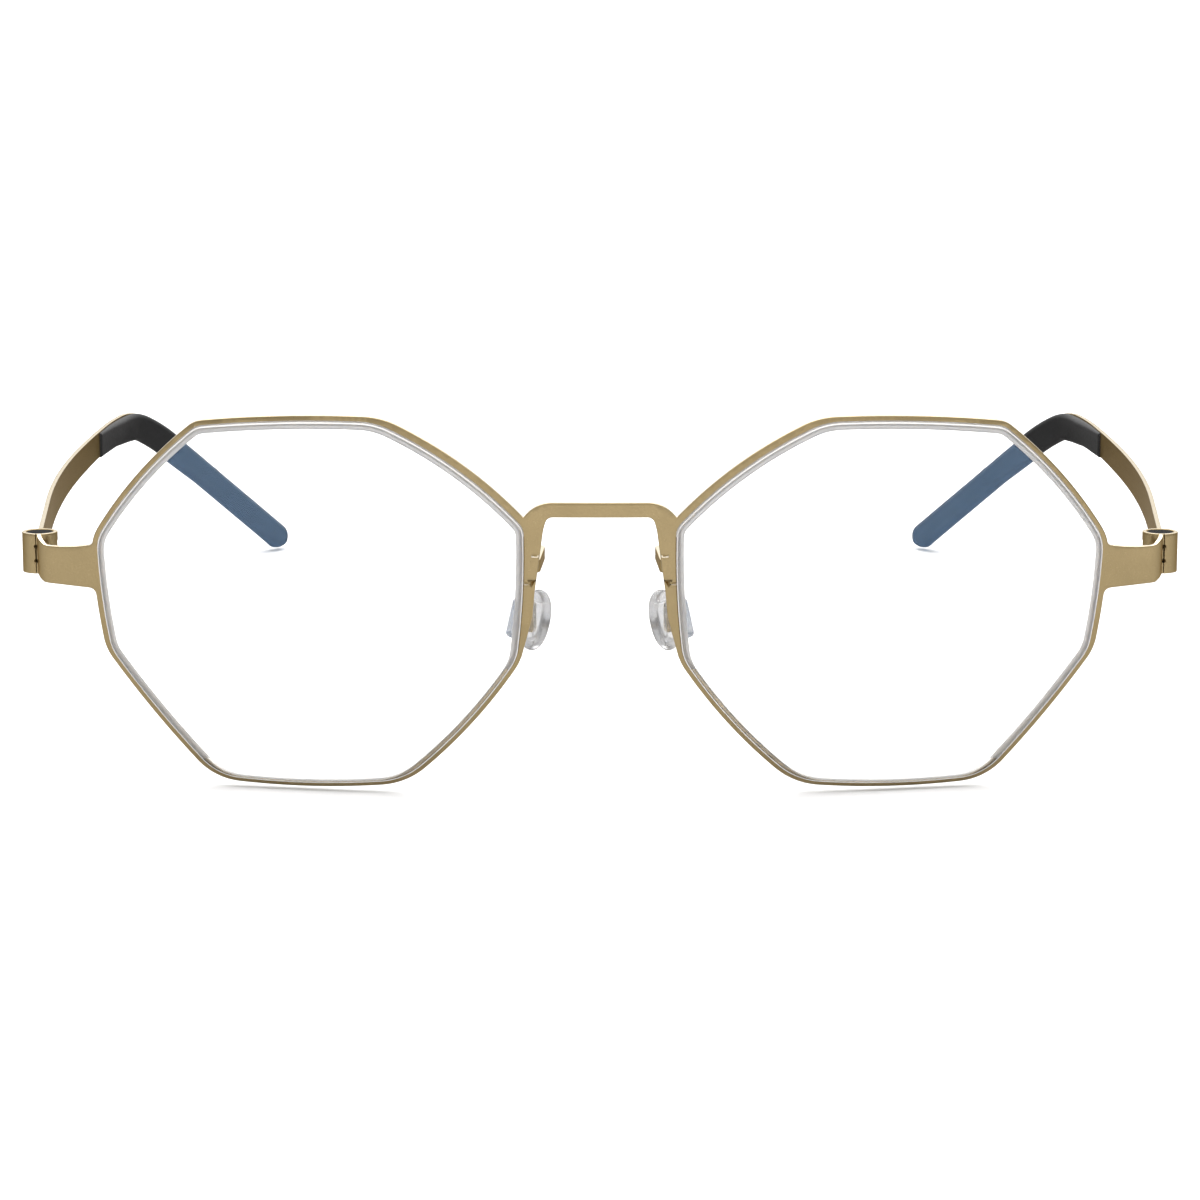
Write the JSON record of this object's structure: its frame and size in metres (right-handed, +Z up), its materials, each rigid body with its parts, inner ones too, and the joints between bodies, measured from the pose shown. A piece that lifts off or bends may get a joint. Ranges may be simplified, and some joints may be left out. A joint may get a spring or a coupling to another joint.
{
  "type": "geometric eyeglasses",
  "caption": "Octagonal sheet-titanium eyeglasses, 52 mm lenses, 18 mm bridge, 145 mm temples with silicone sleeves, rolled hinges, clear nose pads.",
  "frame": {"origin": "centre of the bounding box's bottom face, on the table the open glasses stand on", "axes": "+X towards the wearer's left temple, +Y from the front back along the temples, +Z up; the glasses rest on the lower rims and the two sleeve tips"},
  "size_m": [0.1492, 0.1411, 0.0474],
  "materials": {
    "titanium": "matt pale gold, finely blasted titanium sheet with bright cut edges",
    "lens": "clear, with a faint blue-reflecting coat",
    "clear_silicone": "clear soft silicone",
    "black_silicone": "black silicone with a soft sheen",
    "pin_steel": "turned, grey"
  },
  "bodies": {
    "frame": {"front_frame": "titanium", "left_lens": "lens", "right_lens": "lens", "left_nose_pad": "clear_silicone", "right_nose_pad": "clear_silicone"},
    "left_arm": {"left_temple": "titanium", "left_sleeve": "black_silicone", "left_hinge_pin": "pin_steel"},
    "right_arm": {"right_temple": "titanium", "right_sleeve": "black_silicone", "right_hinge_pin": "pin_steel"}
  },
  "joints": [
    {"name": "left_temple_fold", "type": "hinge", "parent": "frame", "child": "left_arm", "pos_m": [0.0697, -0.05679, 0.02809], "axis": [0, 0.0518, 0.9987], "range_deg": [0, 82]},
    {"name": "right_temple_fold", "type": "hinge", "parent": "frame", "child": "right_arm", "pos_m": [-0.0697, -0.05679, 0.02809], "axis": [0, -0.0518, -0.9987], "range_deg": [0, 62]}
  ]
}
